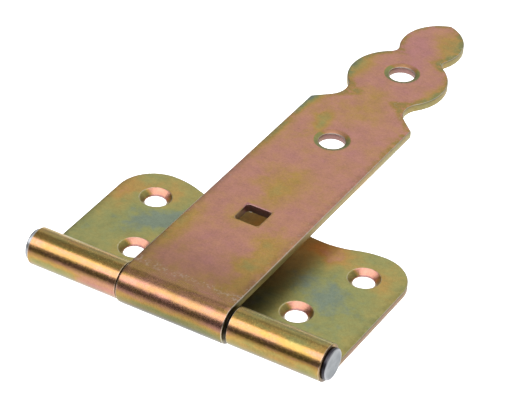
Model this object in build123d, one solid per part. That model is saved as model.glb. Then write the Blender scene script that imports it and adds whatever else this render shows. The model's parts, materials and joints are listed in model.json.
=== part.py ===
"""Ornamental T-hinge, folded shut: a long strap leaf with a spade tip lies over a wide cross plate.

Both leaves are steel sheet. The end of each is rolled into knuckles round one headed pin.
The three pieces are the strap leaf, the cross plate and the hinge pin, all in millimetres.
Inside the functions, y = 0 is the pin's axis, +Y runs along the strap towards its tip and z = 0 is
the wall face of the cross plate. The last step moves the origin to the middle of the near screws.
"""
import os
from math import asin, degrees, radians, tan

from build123d import *

# Sheet and pin
strap_thick = 3.0
plate_thick = 2.5
pin_d = 8.0
pin_clearance = 0.08
curl_gap = 0.4

# Pin heads, upset outside the barrel
head_d = 11.0
head_thick = 1.6
head_round = 0.4

# Strap leaf, lengths from the pin's axis
strap_width = 40.0
shoulder_y = 119.3
taper_angle = 47.0
lobe_y = 146.5
lobe_r = 18.0
neck_r = 8.0
spade_y = 172.5
spade_half = 11.2
tip_y = 188.0
spade_neck_r = 3.5
square_y = 45.8
square_side = 9.4
square_corner = 1.2
bolt_hole_d = 9.2
bolt_rows = (99.0, 149.8)
ring_d = 13.0
ring_depth = 0.5

# Cross plate, lengths from the pin's axis
plate_width = 110.0
middle_y = 59.5
end_swell = 4.0
waist_half = 20.0
middle_swell = 2.0
screw_d = 7.4
countersink_d = 11.2
near_row = (62.0, 21.5)
far_row = (81.0, 49.5)

# Fit of the strap's knuckle between the plate's two knuckles
side_play = 1.6
strap_shift = -0.4
notch_clearance = 1.0

# Sizes that follow from those above
pin_r = pin_d / 2
strap_bore = pin_r + pin_clearance
strap_roll = strap_bore + strap_thick
plate_roll = pin_r + plate_thick
axis_z = plate_roll
notch_width = strap_width + side_play
corner_r = middle_y + end_swell - far_row[1]


def roll_profile(bore, roll, flat_end):
    """Sheet seen along +X: a flat tangent to the bottom of its roll, which stops just above it."""
    wrap = 270 + degrees(asin((bore - curl_gap) / roll))
    gap = make_face(
        Polyline(
            (0, 0),
            (0, -2 * roll),
            (2 * roll, -2 * roll),
            (2 * roll, 2 * roll * tan(radians(wrap - 360))),
            (0, 0),
        )
    )
    flat = Pos(flat_end / 2, -(bore + roll) / 2) * Rectangle(flat_end, roll - bore)
    return Circle(roll) - Circle(bore) - gap + flat


def rolled_sheet(bore, roll, flat_end, x_from, x_to):
    """Strip of sheet with its knuckle round the pin's axis and its flat running to flat_end."""
    plane = Plane(origin=(x_from, 0, 0), x_dir=(0, 1, 0), z_dir=(1, 0, 0))
    return extrude(plane * roll_profile(bore, roll, flat_end), x_to - x_from)


def strap_outline():
    """Strap from barrel to tip: straight sides, shoulders, round lobe and pointed spade."""
    half = strap_width / 2
    taper_y = shoulder_y + half / tan(radians(taper_angle))
    body = make_face(
        Polyline(
            (-half, -strap_roll),
            (half, -strap_roll),
            (half, shoulder_y),
            (0, taper_y),
            (-half, shoulder_y),
            (-half, -strap_roll),
        )
    )
    lobe = Pos(0, lobe_y) * Circle(lobe_r)
    rise = tip_y - spade_y
    arch_r = (rise**2 + spade_half**2) / (2 * spade_half)
    offset = arch_r - spade_half
    spade = (Pos(-offset, spade_y) * Circle(arch_r)) & (Pos(offset, spade_y) * Circle(arch_r))
    outline = body + lobe
    outline = fillet(concave_pair(outline, shoulder_y + 1, lobe_y), neck_r)
    outline = outline + spade
    return fillet(concave_pair(outline, lobe_y + 1, spade_y), spade_neck_r)


def concave_pair(outline, y_from, y_to):
    """The two mirrored corners of an outline that lie between two rows."""
    return [v for v in outline.vertices() if y_from < v.Y < y_to and abs(v.X) > 0.5]


def bolt_hole(y):
    """Round bolt hole with a shallow sloping ring on the strap's upper face."""
    hole = Cylinder(bolt_hole_d / 2, 3 * strap_thick)
    ring = Pos(0, 0, -ring_depth / 2) * Cone(bolt_hole_d / 2, ring_d / 2, ring_depth)
    return Pos(0, y, strap_roll) * (hole + ring)


def square_hole():
    """Square hole with rounded corners for the neck of a carriage bolt."""
    square = Pos(0, square_y, strap_bore - strap_thick) * RectangleRounded(
        square_side, square_side, square_corner
    )
    return extrude(square, 3 * strap_thick)


def strap_leaf():
    """Flat strap tangent to the top of its knuckle, which turns down, under and back up."""
    half = strap_width / 2
    strip = mirror(rolled_sheet(strap_bore, strap_roll, tip_y + 1, -half, half), about=Plane.XY)
    leaf = strip & extrude(Pos(0, 0, -2 * strap_roll) * strap_outline(), 4 * strap_roll)
    for y in bolt_rows:
        leaf -= bolt_hole(y)
    leaf -= square_hole()
    return Pos(strap_shift, 0, axis_z) * leaf


def plate_outline():
    """Plate with round far corners about the far screws, two shallow waists and a low middle."""
    half = plate_width / 2
    far_x = half - corner_r
    top_y = middle_y + end_swell
    sweep_x = (far_x + waist_half) / 2
    sweep_y = middle_y + end_swell / 2
    crown_y = middle_y + middle_swell
    rise = (waist_half / 2, middle_y + middle_swell / 2)
    right = [
        Line((0, 0), (half, 0)),
        Line((half, 0), (half, far_row[1])),
        RadiusArc((half, far_row[1]), (far_x, top_y), -corner_r),
        TangentArc((far_x, top_y), (sweep_x, sweep_y), tangent=(-1, 0)),
        TangentArc((waist_half, middle_y), (sweep_x, sweep_y), tangent=(1, 0)),
        TangentArc((waist_half, middle_y), rise, tangent=(-1, 0)),
        TangentArc((0, crown_y), rise, tangent=(1, 0)),
        Line((0, crown_y), (0, 0)),
    ]
    side = make_face(right)
    return side + mirror(side, about=Plane.YZ)


def screw_hole(x, y):
    """Countersunk screw hole, the wide end on the upper face."""
    depth = (countersink_d - screw_d) / 2
    hole = Cylinder(screw_d / 2, 3 * plate_thick)
    cone = Pos(0, 0, plate_thick - depth / 2) * Cone(screw_d / 2, countersink_d / 2, depth)
    return Pos(x, y, 0) * (hole + cone)


def cross_plate():
    """Flat plate tangent to the bottom of two knuckles, with a notch for the strap's knuckle."""
    plate = extrude(plate_outline(), plate_thick)
    notch = Pos(0, (strap_roll + notch_clearance) / 2, 0) * Box(
        notch_width, strap_roll + notch_clearance, 3 * plate_thick
    )
    plate -= notch
    inner = notch_width / 2
    outer = plate_width / 2
    flat_end = near_row[1]
    left = Pos(0, 0, axis_z) * rolled_sheet(pin_r, plate_roll, flat_end, -outer, -inner)
    right = Pos(0, 0, axis_z) * rolled_sheet(pin_r, plate_roll, flat_end, inner, outer)
    leaf = plate + left + right
    for spacing, y in (near_row, far_row):
        for side in (-1, 1):
            leaf -= screw_hole(side * spacing / 2, y)
    return leaf


def hinge_pin():
    """Round pin through all three knuckles, with a flat head formed at each end."""
    length = plate_width
    pin = Rot(0, 90, 0) * Cylinder(pin_r, length)
    for side in (-1, 1):
        head = Rot(0, 90, 0) * Cylinder(head_d / 2, head_thick)
        head = Pos(side * (length + head_thick) / 2, 0, 0) * head
        face = head.faces().sort_by(Axis.X)[-1 if side > 0 else 0]
        pin += fillet(face.edges(), head_round)
    return Pos(0, 0, axis_z) * pin


to_origin = Pos(0, -near_row[1], 0)
nodes = {
    "strap_leaf": strap_leaf(),
    "cross_plate": cross_plate(),
    "hinge_pin": hinge_pin(),
}
os.makedirs("parts", exist_ok=True)
for name, solid in nodes.items():
    export_step(to_origin * solid, f"parts/{name}.step")
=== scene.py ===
import json
from math import atan2, cos, degrees, hypot, radians, sin

import bmesh
import bpy
from mathutils import Matrix, Vector


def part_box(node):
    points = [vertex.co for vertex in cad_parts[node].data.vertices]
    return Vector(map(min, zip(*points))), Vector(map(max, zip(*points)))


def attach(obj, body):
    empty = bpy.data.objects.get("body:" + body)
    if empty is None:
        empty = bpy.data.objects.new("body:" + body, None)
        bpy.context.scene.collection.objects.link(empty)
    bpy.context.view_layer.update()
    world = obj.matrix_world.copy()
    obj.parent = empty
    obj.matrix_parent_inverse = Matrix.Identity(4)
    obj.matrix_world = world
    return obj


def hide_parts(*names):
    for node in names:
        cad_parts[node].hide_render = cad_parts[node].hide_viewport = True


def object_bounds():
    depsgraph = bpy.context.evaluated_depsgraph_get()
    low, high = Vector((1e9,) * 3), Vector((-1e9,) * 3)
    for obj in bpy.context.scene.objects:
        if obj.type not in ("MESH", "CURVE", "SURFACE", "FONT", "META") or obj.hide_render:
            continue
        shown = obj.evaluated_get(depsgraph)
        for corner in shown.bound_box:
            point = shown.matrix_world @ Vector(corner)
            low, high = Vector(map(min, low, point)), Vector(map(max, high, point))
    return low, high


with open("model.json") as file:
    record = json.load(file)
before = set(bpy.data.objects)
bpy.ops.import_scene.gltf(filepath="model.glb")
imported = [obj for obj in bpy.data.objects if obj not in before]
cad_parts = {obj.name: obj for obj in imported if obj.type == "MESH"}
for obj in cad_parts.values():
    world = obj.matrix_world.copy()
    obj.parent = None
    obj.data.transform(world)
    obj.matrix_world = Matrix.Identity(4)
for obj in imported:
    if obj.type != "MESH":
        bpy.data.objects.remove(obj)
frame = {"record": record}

cad_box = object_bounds()

# ---------------------------------------------------------------------------------------------
# White table top of a small product studio, low enough under the hinge for the strap to hang
# straight down. A bright strip in front of the barrel, two soft panels and a pale room light it.
# ---------------------------------------------------------------------------------------------


class Wire:
    """One value in a node tree. Arithmetic on it adds the Math nodes that work it out."""

    def __init__(self, tree, socket=None):
        self.tree = tree
        self.socket = socket

    def add(self, kind, settings=None, inputs=None, output=0):
        """Any node: its type, its settings, then the numbers or wires of its sockets."""
        node = self.tree.nodes.new(kind)
        for name, value in (settings or {}).items():
            if name == "stops":
                ramp = node.color_ramp
                while len(ramp.elements) < len(value):
                    ramp.elements.new(0.5)
                for stop, (place, shade) in zip(ramp.elements, value):
                    stop.position = place
                    stop.color = (*shade, 1)
            else:
                setattr(node, name, value)
        for name, value in (inputs or {}).items():
            if isinstance(value, Wire):
                self.tree.links.new(value.socket, node.inputs[name])
            else:
                node.inputs[name].default_value = value
        return Wire(self.tree, node.outputs[output])

    def maths(self, operation, *values):
        inputs = dict(enumerate(values))
        return self.add("ShaderNodeMath", {"operation": operation}, inputs)

    def __add__(self, other):
        return self.maths("ADD", self, other)

    def __radd__(self, other):
        return self.maths("ADD", other, self)

    def __sub__(self, other):
        return self.maths("SUBTRACT", self, other)

    def __rsub__(self, other):
        return self.maths("SUBTRACT", other, self)

    def __mul__(self, other):
        return self.maths("MULTIPLY", self, other)

    def __rmul__(self, other):
        return self.maths("MULTIPLY", other, self)

    def __truediv__(self, other):
        return self.maths("DIVIDE", self, other)

    def __pow__(self, other):
        return self.maths("POWER", self, other)

    def step(self, low, high):
        """0 below low, 1 above high, and a smooth rise between; low may be the larger."""
        settings = {"interpolation_type": "SMOOTHSTEP"}
        return self.add("ShaderNodeMapRange", settings, {0: self, 1: low, 2: high})

    def split(self):
        """The three numbers of a place."""
        node = self.add("ShaderNodeSeparateXYZ", inputs={0: self}).socket.node
        return [Wire(self.tree, socket) for socket in node.outputs]

    def mix(self, first, second):
        """The first colour where this is 0 and the second where it is 1."""
        return self.add("ShaderNodeMix", {"data_type": "RGBA"}, {0: self, 6: first, 7: second}, 2)


scene = bpy.context.scene
scene.view_settings.view_transform = "Standard"

world = bpy.data.worlds.new("pale room")
scene.world = world
world.use_nodes = True
room = Wire(world.node_tree)
heading = room.add("ShaderNodeTexCoord", output="Generated")
_, farness, height = heading.split()
haze = height.add("ShaderNodeValToRGB", {"stops": (
    (0.0, (0.11, 0.11, 0.11)),
    (0.38, (0.15, 0.15, 0.15)),
    (0.60, (0.55, 0.56, 0.57)),
    (1.0, (0.62, 0.62, 0.62)),
)}, {0: height})
far_wall = farness.step(0.35, 0.75) * height.step(0.26, 0.12)
glow = far_wall.mix(haze, (1.25, 1.25, 1.2, 1))
world.node_tree.links.new(glow.socket, world.node_tree.nodes["Background"].inputs["Color"])

table_drop = 0.20
table_z = cad_box[0][2] - table_drop
bpy.ops.object.select_all(action="DESELECT")
bpy.ops.mesh.primitive_grid_add(x_subdivisions=8, y_subdivisions=8, size=6, location=(0, 0, table_z))
table = bpy.context.object
table.name = "table_top"
paper = bpy.data.materials.new("white table top")
paper.use_nodes = True
sheet = paper.node_tree.nodes["Principled BSDF"]
sheet.inputs["Roughness"].default_value = 0.85
tone = Wire(paper.node_tree)
place = tone.add("ShaderNodeTexCoord", output="Object")
mottle = tone.add("ShaderNodeTexNoise", inputs={"Vector": place, "Scale": 9.0, "Detail": 3.0})
shade = mottle.step(0.3, 0.7).mix((0.90, 0.90, 0.90, 1), (0.93, 0.93, 0.93, 1))
paper.node_tree.links.new(shade.socket, sheet.inputs["Base Color"])
sheet.inputs["Emission Color"].default_value = (1, 1, 1, 1)
sheet.inputs["Emission Strength"].default_value = 0.58
table.data.materials.append(paper)


def direction(bearing, climb):
    """Unit vector from bearing, which turns from -Y towards +X, and climb, both in degrees."""
    level = cos(radians(climb))
    return Vector((sin(radians(bearing)) * level, -cos(radians(bearing)) * level, sin(radians(climb))))


def panel(name, aim, bearing, climb, far, wide, tall, watts):
    """Soft rectangular light that faces a point from a direction and a distance."""
    back = direction(bearing, climb)
    bpy.ops.object.light_add(type="AREA", location=Vector(aim) + back * far)
    lamp = bpy.context.object
    lamp.name = name
    lamp.data.shape = "RECTANGLE"
    lamp.data.size = wide
    lamp.data.size_y = tall
    lamp.data.energy = watts
    lamp.rotation_euler = back.to_track_quat("Z", "Y").to_euler()


panel("front strip", (-0.25, 0, 0), bearing=0, climb=55, far=0.9, wide=2.6, tall=0.70, watts=19.0)
panel("back panel", (0, 0.1, 0), bearing=180, climb=38, far=1.4, wide=2.2, tall=0.9, watts=7.5)
panel("top panel", (0.22, 0, 0), bearing=0, climb=98, far=0.9, wide=1.1, tall=0.60, watts=4.2)

# Camera: where it stands, the direction it looks back from, its tilt and its long lens in mm
eye = (0.36792, -0.64110, 0.56518)
view_back = direction(28.898, 35.848)
view_tilt = 3.142
lens_length = 199.786640625
turn = view_back.to_track_quat("Z", "Y").to_matrix() @ Matrix.Rotation(radians(view_tilt), 3, "Z")
bpy.ops.object.camera_add(location=eye)
camera = bpy.context.object
camera.name = "product camera"
camera.rotation_euler = turn.to_euler()
camera.data.sensor_width = 36
camera.data.lens = lens_length
scene.camera = camera

# ---------------------------------------------------------------------------------------------
# Cross plate: 2.5 mm steel sheet, blanked with round far corners, a shallow waist and a notch, four
# screw holes countersunk, and its near edge rolled up round the pin in two knuckles. Zinc plated
# and yellow passivated: olive and teal on the flat, gold and orange on the polished rolls.
# ---------------------------------------------------------------------------------------------
mm = 0.001
(plate_low, plate_high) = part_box("cross_plate")
(pin_low, pin_high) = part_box("hinge_pin")
swing_joint = frame["record"]["behaviour"]["joints"][0]
_, axis_y, axis_z = swing_joint["pos_m"]
blank_end = axis_y - 3 * mm
plate_half = plate_high[0]
plate_thick = 2.5 * mm
plate_roll = plate_high[2] - axis_z
notch_half = 20.8 * mm
notch_y = axis_y + 8.08 * mm
notch_round = 0.8 * mm
middle_y = axis_y + 59.5 * mm
waist_half = 20 * mm
middle_swell = 2 * mm
crown_y = middle_y + middle_swell
corner_r = 14 * mm
screw_r = 3.7 * mm
countersink_r = 5.6 * mm
screw_rows = ((31 * mm, 0.0), (40.5 * mm, 28 * mm))
curl_gap = 0.4 * mm


def begin(kind, **size):
    """Adds a primitive with nothing else selected and goes into edit mode on it."""
    bpy.ops.object.select_all(action="DESELECT")
    getattr(bpy.ops.mesh, "primitive_" + kind + "_add")(**size)
    bpy.ops.object.mode_set(mode="EDIT")
    return bpy.context.edit_object


def pick(kind, test):
    """Selects those verts, edges or faces of the mesh being edited that pass a test."""
    bpy.ops.mesh.select_mode(type={"verts": "VERT", "edges": "EDGE", "faces": "FACE"}[kind])
    bpy.ops.mesh.select_all(action="DESELECT")
    mesh = bpy.context.edit_object.data
    shape = bmesh.from_edit_mesh(mesh)
    for part in getattr(shape, kind):
        if test(part):
            part.select_set(True)
    shape.select_flush_mode()
    bmesh.update_edit_mesh(mesh)


def trace(name, z, x, y, steps):
    """Draws half an outline with one point, pulled straight to (x, y) or swung (centre x, y, turn)."""
    piece = begin("plane", size=mm)
    piece.name = name
    bpy.ops.mesh.select_mode(type="VERT")
    bpy.ops.mesh.merge(type="CENTER")
    bpy.ops.transform.translate(value=(x, y, z))
    for step in steps:
        if len(step) == 2:
            pull = {"value": (step[0] - x, step[1] - y, 0)}
            bpy.ops.mesh.extrude_region_move(TRANSFORM_OT_translate=pull)
            x, y = step
        else:
            centre_x, centre_y, turn = step
            bpy.ops.mesh.spin(
                steps=max(3, round(abs(turn) / 4)),
                angle=-radians(turn),
                center=(centre_x, centre_y, z),
                axis=(0, 0, 1),
            )
            arm = Matrix.Rotation(radians(turn), 2) @ Vector((x - centre_x, y - centre_y))
            x, y = centre_x + arm.x, centre_y + arm.y
    bpy.ops.object.mode_set(mode="OBJECT")
    other_half = piece.modifiers.new("other half", "MIRROR")
    other_half.merge_threshold = 0.01 * mm
    bpy.ops.object.modifier_apply(modifier=other_half.name)
    bpy.ops.object.mode_set(mode="EDIT")
    return piece


def blank(low, high, above, below):
    """Turns the outline into sheet: a wall from low to high, then steps (in, out) to each face."""
    bpy.ops.mesh.select_all(action="SELECT")
    bpy.ops.mesh.edge_face_add()
    bpy.ops.mesh.extrude_region_move(TRANSFORM_OT_translate={"value": (0, 0, high - low)})
    bpy.ops.mesh.select_all(action="SELECT")
    bpy.ops.mesh.normals_make_consistent(inside=False)
    for level, steps in ((high, above), (low, below)):
        pick("faces", lambda f: len(f.verts) > 8 and abs(f.calc_center_median().z - level) < 1e-6)
        for inward, outward in steps:
            bpy.ops.mesh.inset(thickness=inward, depth=outward)
        bpy.ops.mesh.delete(type="ONLY_FACE")


def bore(x, y, rings):
    """A round hole through the sheet, pulled down from a circle as rings of (radius, height)."""
    bpy.ops.mesh.select_mode(type="EDGE")
    bpy.ops.mesh.select_all(action="DESELECT")
    radius, z = rings[0]
    bpy.ops.mesh.primitive_circle_add(vertices=64, radius=radius, location=(x, y, z))
    for next_radius, next_z in rings[1:]:
        bpy.ops.mesh.extrude_region_move(TRANSFORM_OT_translate={"value": (0, 0, next_z - z)})
        scale = next_radius / radius
        bpy.ops.transform.resize(value=(scale, scale, 1), center_override=(x, y, next_z))
        radius, z = next_radius, next_z


def close_faces(*levels):
    """Fills the flat of the sheet between its outer edge and its holes, on each of its sides."""
    for level in levels:
        pick("edges", lambda e: not e.is_manifold and all(abs(v.co.z - level) < 1e-5 for v in e.verts))
        bpy.ops.mesh.fill(use_beauty=True)
    bpy.ops.mesh.select_all(action="SELECT")
    bpy.ops.mesh.normals_make_consistent(inside=False)


def roll_up(roll, thick, up):
    """Cuts the sheet at the pin's axis and spins that edge round the pin, stopping above the flat."""
    for cut_y, clear in ((axis_y + 2.5 * mm, False), (axis_y, True)):
        bpy.ops.mesh.select_all(action="SELECT")
        bpy.ops.mesh.bisect(
            plane_co=(0, cut_y, 0), plane_no=(0, 1, 0), use_fill=False, clear_inner=clear
        )
    pick("edges", lambda e: not e.is_manifold and all(abs(v.co.y - axis_y) < 1e-6 for v in e.verts))
    end_height = roll - thick - curl_gap
    wrap = radians(270) + atan2(end_height, (roll**2 - end_height**2) ** 0.5)
    bpy.ops.mesh.spin(
        steps=84, angle=wrap if up else -wrap, center=(0, axis_y, axis_z), axis=(1, 0, 0)
    )
    bpy.ops.mesh.fill(use_beauty=True)
    bpy.ops.mesh.inset(thickness=0.25 * mm, depth=0.0)
    bpy.ops.mesh.select_all(action="SELECT")
    bpy.ops.mesh.remove_doubles(threshold=0.002 * mm)
    bpy.ops.mesh.normals_make_consistent(inside=False)


def mark_wear(piece):
    """Notes how sharply the surface turns at each point, and which faces the press cut."""
    shape = bmesh.new()
    shape.from_mesh(piece.data)
    turns = [0.0] * len(shape.verts)
    for edge in shape.edges:
        if len(edge.link_faces) == 2:
            turn = min(1.0, max(0.0, (degrees(edge.calc_face_angle_signed(0)) - 9) / 14))
            for point in edge.verts:
                turns[point.index] = max(turns[point.index], turn)
    cuts = []
    for face in shape.faces:
        beyond_roll = face.calc_center_median().y > axis_y + 1.2 * mm
        cuts.append(float(abs(face.normal.x) > 0.7 or (beyond_roll and abs(face.normal.z) < 0.3)))
    shape.free()
    piece.data.attributes.new("worn", "FLOAT", "POINT").data.foreach_set("value", turns)
    piece.data.attributes.new("cut", "FLOAT", "FACE").data.foreach_set("value", cuts)


def finish_sheet(piece, skin):
    """Back to object mode, smooth where it curves, and plated."""
    bpy.ops.object.mode_set(mode="OBJECT")
    bpy.ops.object.shade_smooth_by_angle(angle=radians(32))
    mark_wear(piece)
    piece.data.materials.append(skin)


# Colours of the yellow film as it thickens: pink, copper, gold, olive, then teal
film = (
    (0.0, (0.66, 0.30, 0.27)),
    (0.22, (0.68, 0.335, 0.215)),
    (0.45, (0.62, 0.37, 0.105)),
    (0.66, (0.47, 0.40, 0.13)),
    (0.84, (0.38, 0.39, 0.15)),
    (1.0, (0.27, 0.33, 0.235)),
)


def plated(name, *, film_at, roll_film_at, light, crown, rough, roll_rough, cut_edge, rim, inward,
           bands, patches, holes):
    """Yellow zinc, with every place in millimetres and every film as a place on the row of colours.

    The film drifts round film_at on the flat and roll_film_at on the roll, and crown is how much the
    top of the roll differs in film and in painted shade, and how bright a painted highlight line at
    the back of the roll is. cut_edge is the (film, light) of the pressed side walls, and rim is the
    (film change at the tip, scuffing) along the outline, which inward gives the distance in from.
    A patch is (x, y, wide, long, film change). A band round the roll is (x, wide, film change below,
    film change above, painted shade below). A hole is (square, x, y, ring radius, wall radius, ring
    film, wall film, ring light, shaded wall level), and the lower wall level paints shade in the hole.
    """
    skin = bpy.data.materials.new(name)
    skin.use_nodes = True
    node = Wire(skin.node_tree)
    shader = skin.node_tree.nodes["Principled BSDF"]
    place = node.add("ShaderNodeTexCoord", output="Object")
    spot = node.add("ShaderNodeVectorMath", {"operation": "SCALE"}, {0: place, 3: 1000.0})
    x, y, z = spot.split()
    past_axis = y - axis_y / mm
    above_axis = z - axis_z / mm

    def noise(scale, detail, fine=0.55, squash=None):
        where = spot
        if squash:
            where = node.add("ShaderNodeVectorMath", {"operation": "MULTIPLY"}, {0: spot, 1: squash})
        inputs = {"Vector": where, "Scale": scale, "Detail": detail, "Roughness": fine}
        return node.add("ShaderNodeTexNoise", inputs=inputs)

    # Film on the flat: a slow drift, a fine mottle, and soft patches whose outlines the drift bends
    drift = noise(0.09, 3.0) - 0.5
    sway = noise(0.13, 2.0, 0.5, (1.0, 1.0, 0.2)) - 0.5
    bent_x = x + drift * 9
    bent_y = y + sway * 12
    tone = drift * 0.6 + (noise(0.4, 4.0, 0.65) - 0.5) * 0.32 + film_at
    for patch_x, patch_y, wide, long, change in patches:
        reach = ((bent_x - patch_x) / wide) ** 2 + ((bent_y - patch_y) / long) ** 2
        tone = tone + (reach ** 0.5).step(1.5, 0.0) * change

    # Film on the roll: streaks along the pin and bands round it, then painted shade in a line a little
    # above the pin, painted shade underneath, and a painted highlight line at the top of the back
    on_roll = past_axis.step(4.5, 1.5)
    streak = noise(0.55, 3.0, 0.6, (0.22, 1.0, 1.0)) - 0.5
    low_side = above_axis.step(2.5, -1.5)
    painted_top_shade = above_axis.step(5.2, 6.2) * crown
    roll_tone = streak * 0.6 + drift * 0.5 + low_side * 0.2 + painted_top_shade * 0.2 + roll_film_at
    painted_shade_line = above_axis.step(0.3, 1.8) * above_axis.step(3.6, 2.6)
    painted_highlight_line = past_axis.step(1.0, 2.0) * above_axis.step(3.0, 4.6)
    painted_shade_under_roll = above_axis.step(-1.2, -4.8)
    painted_roll_light = 1 - painted_shade_line * 0.22 - painted_shade_under_roll * 0.57 + painted_highlight_line * (crown - 0.3) * 1.1
    # A band may also paint shade on the low side of the roll
    for band_x, wide, below, above, painted_low_shade in bands:
        nearby = node.maths("ABSOLUTE", bent_x - band_x).step(wide, wide * 0.3)
        roll_tone = roll_tone + nearby * (low_side * (below - above) + above)
        painted_roll_light = painted_roll_light + nearby * low_side * painted_low_shade
    tone = tone * (1 - on_roll) + roll_tone * on_roll

    # Pressed side walls, the rubbed strip along the outline, and the duller flat behind the roll
    cut_film, cut_light = cut_edge
    sheared = node.add("ShaderNodeAttribute", {"attribute_name": "cut"}, output="Fac")
    tone = tone * (1 - sheared) + (cut_film + drift * 0.5) * sheared
    level = sheared * (cut_light - light) + light
    # The roll's painted shade and painted highlight, and the painted shade on its top, set the level
    # here
    level = level * (1 + on_roll * (painted_roll_light - 1)) - on_roll * painted_top_shade * (0.3 * light)
    rim_change, scuffing = rim
    along_rim = inward(node, x, y).step(3.4, 0.8) * (1 - on_roll)
    along_rim = along_rim * noise(0.35, 3.0, 0.65).step(0.3, 0.6) * (1 - sheared)
    level = level - along_rim * (0.22 * light)
    tone = tone + along_rim * rim_change * past_axis.step(60, 125)
    behind_roll = above_axis.step(5.4, 6.3) * past_axis.step(34, 6)
    level = level - behind_roll * (scuffing * light * 0.28)

    # Holes: each has its own film and light on the ring and on the wall, pinker on the far side; the
    # darker wall is painted shade inside the hole
    kept_clean = sheared * 0.8
    for square, hole_x, hole_y, ring_at, wall_at, ring_film, wall_film, ring_light, shaded_wall_level in holes:
        aside, ahead = x - hole_x, y - hole_y
        if square:
            apart = node.maths("MAXIMUM", node.maths("ABSOLUTE", aside), node.maths("ABSOLUTE", ahead))
        else:
            apart = (aside**2 + ahead**2) ** 0.5
        far_side = ahead.step(1.2, 3.4) * aside.step(5.2, 2.0)
        inside = apart.step(ring_at + 0.2, ring_at - 0.2)
        wall = apart.step(wall_at + 0.3, wall_at + 0.1)
        hole_tone = wall * (wall_film - ring_film) + ring_film + drift * 0.3 - far_side * 0.5
        hole_level = wall * (shaded_wall_level - ring_light) + ring_light
        tone = tone * (1 - inside) + hole_tone * inside
        level = level * (1 - inside) + hole_level * inside
        if square:
            kept_clean = kept_clean + inside * (1 - sheared) * 0.8

    # The film's colour, made uneven by grain and flecks, then greyed where it is chafed or scuffed
    colour = node.add("ShaderNodeValToRGB", {"stops": film}, {0: tone})
    grain = noise(3.2, 3.0, 0.75)
    fleck = noise(1.1, 2.0, 0.6)
    uneven = (grain - 0.5) * 0.75 + (fleck - 0.5) * 0.4 + (noise(0.25, 3.0) - 0.5) * 0.35 + 1.0
    colour = node.add("ShaderNodeVectorMath", {"operation": "SCALE"}, {0: colour, 3: uneven * level})
    worn = node.add("ShaderNodeAttribute", {"attribute_name": "worn"}, output="Fac")
    chafe = (noise(0.7, 4.0, 0.7) * 0.8 + worn * 0.75).step(0.74, 1.1) * worn * (1 - kept_clean)
    bend = past_axis.step(1.5, 3.5) * past_axis.step(8.0, 5.0)
    scuff = (noise(0.9, 4.0, 0.75) + bend * 0.14 + along_rim * 0.1).step(0.64, 0.78) * scuffing
    colour = (chafe * 0.62 + scuff * 0.3).mix(colour, (0.40, 0.375, 0.33, 1))

    roughness = (1 - on_roll) * (rough - roll_rough) + roll_rough
    roughness = roughness + (grain - 0.5) * 0.16 + (fleck - 0.5) * 0.08 + sheared * 0.08
    pits = grain * 0.5 + fleck * 0.8 + noise(0.3, 2.0) * 2.0
    bump = node.add("ShaderNodeBump", inputs={"Strength": 0.35, "Distance": 0.00006, "Height": pits})
    shader.inputs["Metallic"].default_value = 1.0
    for socket, wire in (("Base Color", colour), ("Roughness", roughness), ("Normal", bump)):
        skin.node_tree.links.new(wire.socket, shader.inputs[socket])
    return skin


def inside_plate(node, x, y):
    """Millimetres in from the plate's side edges."""
    return plate_half / mm - node.maths("ABSOLUTE", x)


plate_skin = plated(
    "yellow zinc on the plate",
    film_at=0.78, roll_film_at=0.28, light=0.53, crown=1.0, rough=0.36, roll_rough=0.25,
    cut_edge=(0.38, 0.30), rim=(0.0, 0.15), inward=inside_plate,
    bands=(
        (-49, 9, 0.20, 0.0, 0.0), (-27, 11, -0.25, 0.0, 0.0), (-40, 5, 0.20, 0.0, 0.0),
        (39, 24, 0.10, 0.15, -0.22), (50, 6, 0.14, 0.0, 0.0), (-39, 24, 0.0, 0.06, -0.16),
    ),
    patches=(
        (2, 34, 9, 9, -0.25), (-38, 14, 14, 16, 0.15), (-30, 20, 11, 12, 0.12), (38, 12, 14, 16, 0.16),
        (29, 15, 10, 14, 0.10), (-51, 28, 8, 16, -0.35), (-36, 34, 10, 9, -0.22),
        (24, 34, 10, 7, -0.45), (51, 30, 8, 14, -0.12), (-31, 0, 10, 9, -0.26), (31, 0, 9, 8, -0.18),
        (40.5, 28, 9, 8, -0.22), (-40.5, 28, 8, 7, -0.2), (-50, -14, 12, 7, -0.22),
        (38, -14, 24, 5, -0.28), (-24, 2, 6, 12, -0.15),
    ),
    holes=tuple(
        (False, side * row_x / mm, row_y / mm, countersink_r / mm + 0.1, screw_r / mm,
         0.66, 0.30, 0.54, 0.40)
        for row_x, row_y in screw_rows for side in (-1, 1)
    ),
)
plate_top = plate_low[2] + plate_thick
plate_wall = (plate_low[2] + 0.35 * mm, plate_top - 0.35 * mm)


def smooth_step(span, rise):
    """Radius and turn of the two equal arcs that carry an edge over so many mm and up so many."""
    radius = (span**2 + rise**2) / (4 * rise) * mm
    return radius, degrees(atan2(span / 2, radius / mm - rise / 2))


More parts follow.
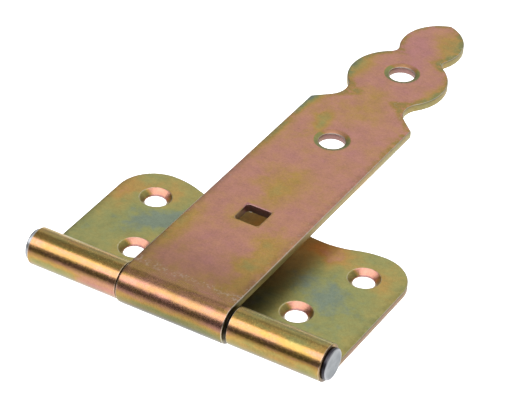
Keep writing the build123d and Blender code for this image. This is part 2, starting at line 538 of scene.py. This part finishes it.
bend_r, bend_turn = smooth_step(span=21, rise=4)
crown_r, crown_turn = smooth_step(span=20, rise=2)
plate = trace(
    "plate_sheet", plate_wall[0], 0, crown_y,
    (
        (0, crown_y - crown_r, -crown_turn),
        (waist_half, middle_y + crown_r, crown_turn),
        (waist_half, middle_y + bend_r, bend_turn),
        (plate_half - corner_r, plate_high[1] - bend_r, -bend_turn),
        (plate_half - corner_r, plate_high[1] - corner_r, -90),
        (plate_half, blank_end),
        (notch_half, blank_end),
        (notch_half, notch_y - notch_round),
        (notch_half - notch_round, notch_y - notch_round, 90),
        (0, notch_y),
    ),
)
plate_rim = ((0.06 * mm, 0.15 * mm), (0.12 * mm, 0.10 * mm), (0.18 * mm, 0.06 * mm))
plate_above = plate_rim + ((0.5 * mm, 0.03 * mm), (0.9 * mm, 0.01 * mm), (0.3 * mm, 0.0))
sheet_below = ((0.05 * mm, 0.15 * mm), (0.10 * mm, 0.10 * mm), (0.15 * mm, 0.10 * mm), (0.3 * mm, 0.0))
blank(*plate_wall, plate_above, sheet_below)
for row_x, row_y in screw_rows:
    for side in (-1, 1):
        bore(side * row_x, row_y, (
            (countersink_r + 0.55 * mm, plate_top),
            (countersink_r + 0.12 * mm, plate_top),
            (countersink_r - 0.05 * mm, plate_top - 0.06 * mm),
            (countersink_r - 0.25 * mm, plate_top - 0.22 * mm),
            (screw_r + 0.12 * mm, plate_top - 1.78 * mm),
            (screw_r, plate_top - 1.95 * mm),
            (screw_r, plate_low[2] + 0.15 * mm),
            (screw_r + 0.15 * mm, plate_low[2]),
            (screw_r + 0.45 * mm, plate_low[2]),
        ))
close_faces(plate_top, plate_low[2])
roll_up(plate_roll, plate_thick, True)
finish_sheet(plate, plate_skin)
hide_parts("cross_plate")
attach(plate, "plate")

# ---------------------------------------------------------------------------------------------
# Strap leaf: 3 mm steel sheet, 40 mm wide, with a round lobe and a pointed spade at its tip, two
# round bolt holes with a sloping ring, and a square hole for a carriage bolt. Its near end rolls
# down and under round the pin. The film is pink to copper here, gold in places, olive at the rims.
# ---------------------------------------------------------------------------------------------
(strap_low, strap_high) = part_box("strap_leaf")
strap_x = (strap_low[0] + strap_high[0]) / 2
strap_half = (strap_high[0] - strap_low[0]) / 2
strap_thick = 3 * mm
strap_top = strap_high[2] - 0.012 * mm
strap_under = strap_top - strap_thick
strap_roll = strap_top - axis_z
shoulder_y = axis_y + 119.3 * mm
taper = radians(47)
lobe_y = axis_y + 146.5 * mm
lobe_r = 18 * mm
neck_r = 8 * mm
spade_y = axis_y + 172.5 * mm
spade_half = 11.2 * mm
tip_y = strap_high[1]
spade_neck_r = 3.5 * mm
spade_r = ((tip_y - spade_y) ** 2 + spade_half**2) / (2 * spade_half)
square_y = axis_y + 45.8 * mm
square_half = 4.7 * mm
bolt_r = 4.6 * mm
ring_r = 6.5 * mm
bolt_rows = (axis_y + 99 * mm, axis_y + 149.8 * mm)


def where_circles_meet(x1, y1, r1, x2, y2, r2):
    """The meeting point of two circles that lies further to the right."""
    apart = hypot(x2 - x1, y2 - y1)
    along = (r1**2 - r2**2 + apart**2) / (2 * apart)
    off = (r1**2 - along**2) ** 0.5
    ux, uy = (x2 - x1) / apart, (y2 - y1) / apart
    points = [(x1 + along * ux + s * off * uy, y1 + along * uy - s * off * ux) for s in (1, -1)]
    return max(points)


def swing(middle, start, end):
    """Degrees turned about a point on the short way from start to end."""
    first = atan2(start[1] - middle[1], start[0] - middle[0])
    last = atan2(end[1] - middle[1], end[0] - middle[0])
    return (degrees(last - first) + 180) % 360 - 180


def towards(middle, other, radius):
    """The point at a radius from one centre in the direction of another."""
    far = hypot(other[0] - middle[0], other[1] - middle[1])
    return (
        middle[0] + (other[0] - middle[0]) * radius / far,
        middle[1] + (other[1] - middle[1]) * radius / far,
    )


# The neck's round touches both the tapered shoulder and the lobe, and the waist's both round parts
lobe = (0, lobe_y)
slope = (-sin(taper), cos(taper))
offset = (strap_half + neck_r * cos(taper), shoulder_y + neck_r * sin(taper))
gap_x, gap_y = offset[0] - lobe[0], offset[1] - lobe[1]
up_slope = gap_x * slope[0] + gap_y * slope[1]
climb = -up_slope - (up_slope**2 - gap_x**2 - gap_y**2 + (lobe_r + neck_r) ** 2) ** 0.5
neck = (offset[0] + climb * slope[0], offset[1] + climb * slope[1])
neck_start = (neck[0] - neck_r * cos(taper), neck[1] - neck_r * sin(taper))
neck_end = towards(neck, lobe, neck_r)
arch = (spade_half - spade_r, spade_y)
waist = where_circles_meet(*lobe, lobe_r + spade_neck_r, *arch, spade_r + spade_neck_r)
waist_start = towards(waist, lobe, spade_neck_r)
waist_end = towards(waist, arch, spade_neck_r)
tip = (0, tip_y)
strap_wall = (strap_under + 0.35 * mm, strap_top - 0.45 * mm)
strap = trace(
    "strap_sheet", strap_wall[0], 0, blank_end,
    (
        (strap_half, blank_end),
        (strap_half, shoulder_y),
        neck_start,
        (*neck, swing(neck, neck_start, neck_end)),
        (*lobe, swing(lobe, neck_end, waist_start)),
        (*waist, swing(waist, waist_start, waist_end)),
        (*arch, swing(arch, waist_end, tip)),
    ),
)
strap_rim = ((0.07 * mm, 0.16 * mm), (0.13 * mm, 0.12 * mm), (0.22 * mm, 0.08 * mm))
strap_above = strap_rim + ((0.5 * mm, 0.06 * mm), (0.8 * mm, 0.03 * mm), (0.3 * mm, 0.0))
blank(*strap_wall, strap_above, sheet_below)
for row_y in bolt_rows:
    bore(0, row_y, (
        (ring_r + 0.5 * mm, strap_top),
        (ring_r + 0.15 * mm, strap_top),
        (ring_r - 0.15 * mm, strap_top - 0.07 * mm),
        (bolt_r + 0.45 * mm, strap_top - 0.42 * mm),
        (bolt_r + 0.12 * mm, strap_top - 0.6 * mm),
        (bolt_r, strap_top - 0.85 * mm),
        (bolt_r, strap_under + 0.25 * mm),
        (bolt_r + 0.12 * mm, strap_under),
        (bolt_r + 0.4 * mm, strap_under),
    ))
# Square hole: the outline of a round-cornered square, pulled down through the sheet
half_wide, level_z = square_half + 0.45 * mm, strap_top
square_corner = 1.5 * mm
bpy.ops.mesh.select_all(action="DESELECT")
bpy.ops.mesh.select_mode(type="VERT")
bpy.ops.mesh.primitive_plane_add(size=2 * half_wide, location=(0, square_y, strap_top))
bpy.ops.mesh.bevel(offset=square_corner, segments=6, affect="VERTICES")
bpy.ops.mesh.select_mode(type="FACE")
bpy.ops.mesh.delete(type="ONLY_FACE")
pick("edges", lambda e: e.is_wire)
for next_half, next_z in (
    (square_half + 0.2 * mm, strap_top),
    (square_half + 0.06 * mm, strap_top - 0.12 * mm),
    (square_half, strap_top - 0.35 * mm),
    (square_half, strap_under + 0.25 * mm),
    (square_half + 0.1 * mm, strap_under),
    (square_half + 0.35 * mm, strap_under),
):
    bpy.ops.mesh.extrude_region_move(TRANSFORM_OT_translate={"value": (0, 0, next_z - level_z)})
    scale = next_half / half_wide
    bpy.ops.transform.resize(value=(scale, scale, 1), center_override=(0, square_y, next_z))
    half_wide, level_z = next_half, next_z
close_faces(strap_top, strap_under)
roll_up(strap_roll, strap_thick, False)
bpy.ops.transform.translate(value=(strap_x, 0, 0))


def inside_strap(node, x, y):
    """Millimetres in from the strap's outline: its straight part, its lobe and its spade together."""
    aside = node.maths("ABSOLUTE", x - strap_x / mm)
    to_side = strap_half / mm - aside
    to_taper = to_side * cos(taper) + (shoulder_y / mm - y) * sin(taper)
    to_lobe = lobe_r / mm - (aside**2 + (y - lobe_y / mm) ** 2) ** 0.5
    to_spade = spade_r / mm - ((aside - arch[0] / mm) ** 2 + (y - spade_y / mm) ** 2) ** 0.5
    body = node.maths("MINIMUM", to_side, to_taper)
    return node.maths("MAXIMUM", body, node.maths("MAXIMUM", to_lobe, to_spade))


strap_skin = plated(
    "yellow zinc on the strap",
    film_at=0.19, roll_film_at=0.24, light=0.485, crown=0.3, rough=0.42, roll_rough=0.27,
    cut_edge=(0.60, 0.50), rim=(0.36, 1.0), inward=inside_strap,
    bands=((0, 30, 0.30, 0.0, -0.44),),
    patches=(
        (0, 46, 9, 15, 0.26), (14, 4, 6, 22, 0.40), (-18, 6, 5, 18, 0.30), (0, 98, 11, 12, 0.14),
        (-1, 110, 6, 9, 0.16), (6, 156, 9, 8, 0.26), (8, 147, 5, 9, 0.20), (-3, 146, 7, 9, -0.16),
        (-16, 124, 5, 13, 0.40), (-19, 97, 4, 9, 0.50), (-19, 72, 3, 20, 0.25), (-9, 85, 3, 8, 0.50),
        (0, 24, 8, 8, 0.14), (15, 97, 6, 12, -0.12), (0, 138, 10, 8, -0.12), (17, 120, 4, 12, 0.25),
        (0, -17, 40, 9, 0.10),
    ),
    holes=(
        (False, strap_x / mm, bolt_rows[0] / mm, ring_r / mm - 0.1, bolt_r / mm, 0.80, 0.25, 0.42, 0.30),
        (False, strap_x / mm, bolt_rows[1] / mm, ring_r / mm - 0.1, bolt_r / mm, 0.80, 0.25, 0.42, 0.30),
        (True, strap_x / mm, square_y / mm, square_half / mm + 0.6, square_half / mm + 0.05,
         0.40, 0.35, 0.44, 0.36),
    ),
)
finish_sheet(strap, strap_skin)
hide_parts("strap_leaf")
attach(strap, "strap")

# ---------------------------------------------------------------------------------------------
# Hinge pin: 8 mm steel rod pressed through all three knuckles, each end upset cold into a flat
# round head 11 mm across that stands 1.6 mm out of the barrel. Bright zinc, a little bluish.
# ---------------------------------------------------------------------------------------------
shaft_r = 3.99 * mm
head_r = (pin_high[2] - pin_low[2]) / 2
head_thick = 1.6 * mm
head_x = pin_high[0] - head_thick
head_gap = 0.03 * mm
pin = begin("cylinder", vertices=96, radius=shaft_r, depth=2 * (head_x + head_gap))
pin.name = "pin_steel"
bpy.ops.transform.rotate(value=radians(90), orient_axis="Y", center_override=(0, 0, 0))
bpy.ops.transform.translate(value=(0, axis_y, axis_z))
for side in (-1, 1):
    pick("faces", lambda f: len(f.verts) > 8 and f.calc_center_median().x * side > 0)
    radius, reach = shaft_r, head_x + head_gap
    for next_radius, next_reach in (
        (head_r - 0.35 * mm, head_x + head_gap),
        (head_r - 0.10 * mm, head_x + 0.15 * mm),
        (head_r, head_x + 0.40 * mm),
        (head_r, pin_high[0] - 0.55 * mm),
        (head_r - 0.08 * mm, pin_high[0] - 0.28 * mm),
        (head_r - 0.24 * mm, pin_high[0] - 0.10 * mm),
        (head_r - 0.50 * mm, pin_high[0] - 0.02 * mm),
        (head_r - 0.80 * mm, pin_high[0]),
        (head_r - 1.00 * mm, pin_high[0] - 0.01 * mm),
        (head_r - 1.40 * mm, pin_high[0] - 0.06 * mm),
        (head_r - 1.80 * mm, pin_high[0] - 0.07 * mm),
    ):
        pull = {"value": (side * (next_reach - reach), 0, 0)}
        bpy.ops.mesh.extrude_region_move(TRANSFORM_OT_translate=pull)
        scale = next_radius / radius
        middle = (side * next_reach, axis_y, axis_z)
        bpy.ops.transform.resize(value=(1, scale, scale), center_override=middle)
        radius, reach = next_radius, next_reach
bpy.ops.mesh.select_all(action="SELECT")
bpy.ops.mesh.normals_make_consistent(inside=False)
bpy.ops.object.mode_set(mode="OBJECT")
bpy.ops.object.shade_smooth_by_angle(angle=radians(35))
steel = bpy.data.materials.new("bright zinc on the pin")
steel.use_nodes = True
node = Wire(steel.node_tree)
shader = steel.node_tree.nodes["Principled BSDF"]
place = node.add("ShaderNodeTexCoord", output="Object")
spot = node.add("ShaderNodeVectorMath", {"operation": "SCALE"}, {0: place, 3: 1000.0})
x, y, z = spot.split()
# Cloudy zinc, a paler ring round each head's face, and painted shade on the flank of the right head
cloud = node.add("ShaderNodeTexNoise", inputs={"Vector": spot, "Scale": 0.35, "Detail": 4.0})
grain = node.add("ShaderNodeTexNoise", inputs={"Vector": spot, "Scale": 4.0, "Detail": 3.0})
out_from_axis = ((y - axis_y / mm) ** 2 + (z - axis_z / mm) ** 2) ** 0.5
ring = out_from_axis.step(head_r / mm - 1.1, head_r / mm - 0.3)
colour = cloud.step(0.35, 0.7).mix((0.118, 0.130, 0.142, 1), (0.185, 0.198, 0.208, 1))
colour = ring.mix(colour, (0.27, 0.275, 0.29, 1))
shaded_flank = x.step(pin_high[0] / mm - 0.12, pin_high[0] / mm - 0.42) * x.step(0, 10)
colour = shaded_flank.mix(colour, (0.035, 0.033, 0.04, 1))
roughness = 0.34 + (grain - 0.5) * 0.2 + (cloud - 0.5) * 0.15
dents = cloud * 2.0 + grain * 0.4
bump = node.add("ShaderNodeBump", inputs={"Strength": 0.4, "Distance": 0.0001, "Height": dents})
shader.inputs["Metallic"].default_value = 1.0
for socket, wire in (("Base Color", colour), ("Roughness", roughness), ("Normal", bump)):
    steel.node_tree.links.new(wire.socket, shader.inputs[socket])
pin.data.materials.append(steel)
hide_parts("hinge_pin")
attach(pin, "plate")
